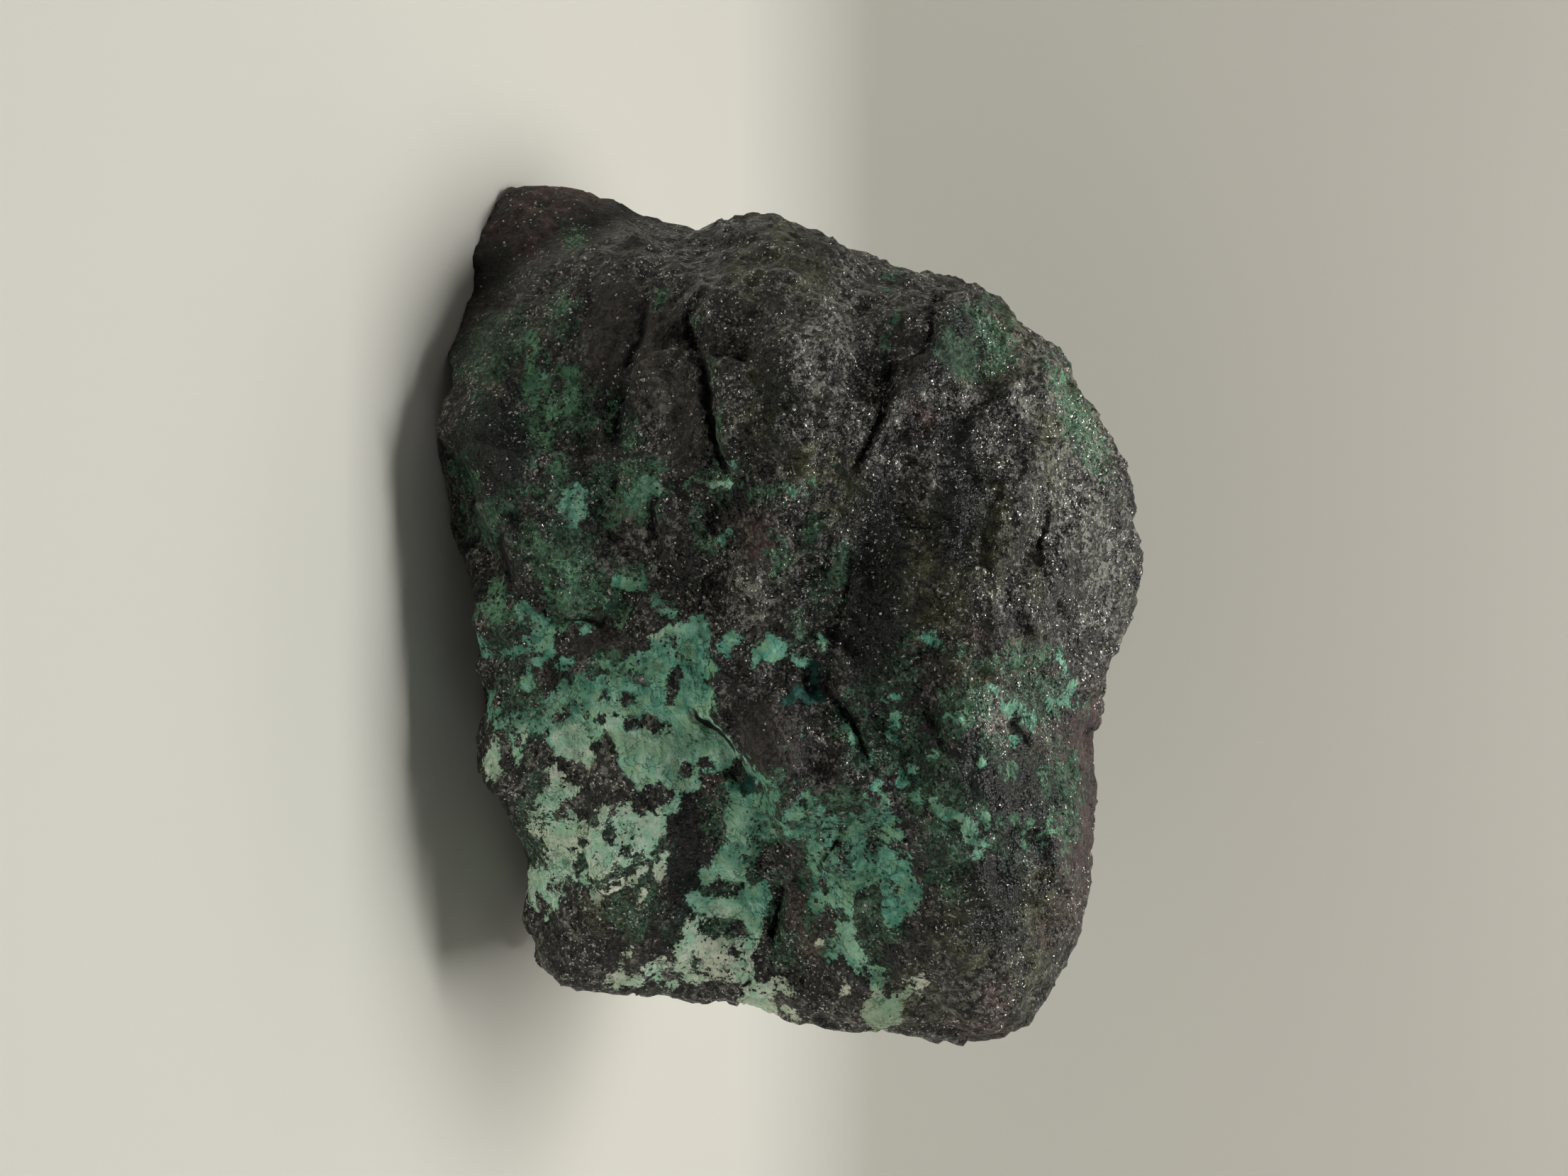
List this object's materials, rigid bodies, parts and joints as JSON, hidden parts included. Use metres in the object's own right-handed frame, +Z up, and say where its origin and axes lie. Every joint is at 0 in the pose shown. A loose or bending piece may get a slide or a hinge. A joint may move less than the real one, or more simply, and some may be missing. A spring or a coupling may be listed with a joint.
{
  "type": "chrysocolla specimen",
  "caption": "Broken lump of dark, glittering ore with blue-green chrysocolla crusts over its front face, standing on a flat foot.",
  "frame": {"origin": "middle of the underside of the rock's box, on the surface that it stands on", "axes": "+X along the rock's length, left to right as its crusted face is seen; -Y out of the crusted face; +Z up"},
  "size_m": [0.1224, 0.0914, 0.0922],
  "materials": {
    "ore": "rough, dark and glittering, with matt blue-green crusts"
  },
  "bodies": {
    "root": {"rock": "ore"}
  },
  "joints": []
}
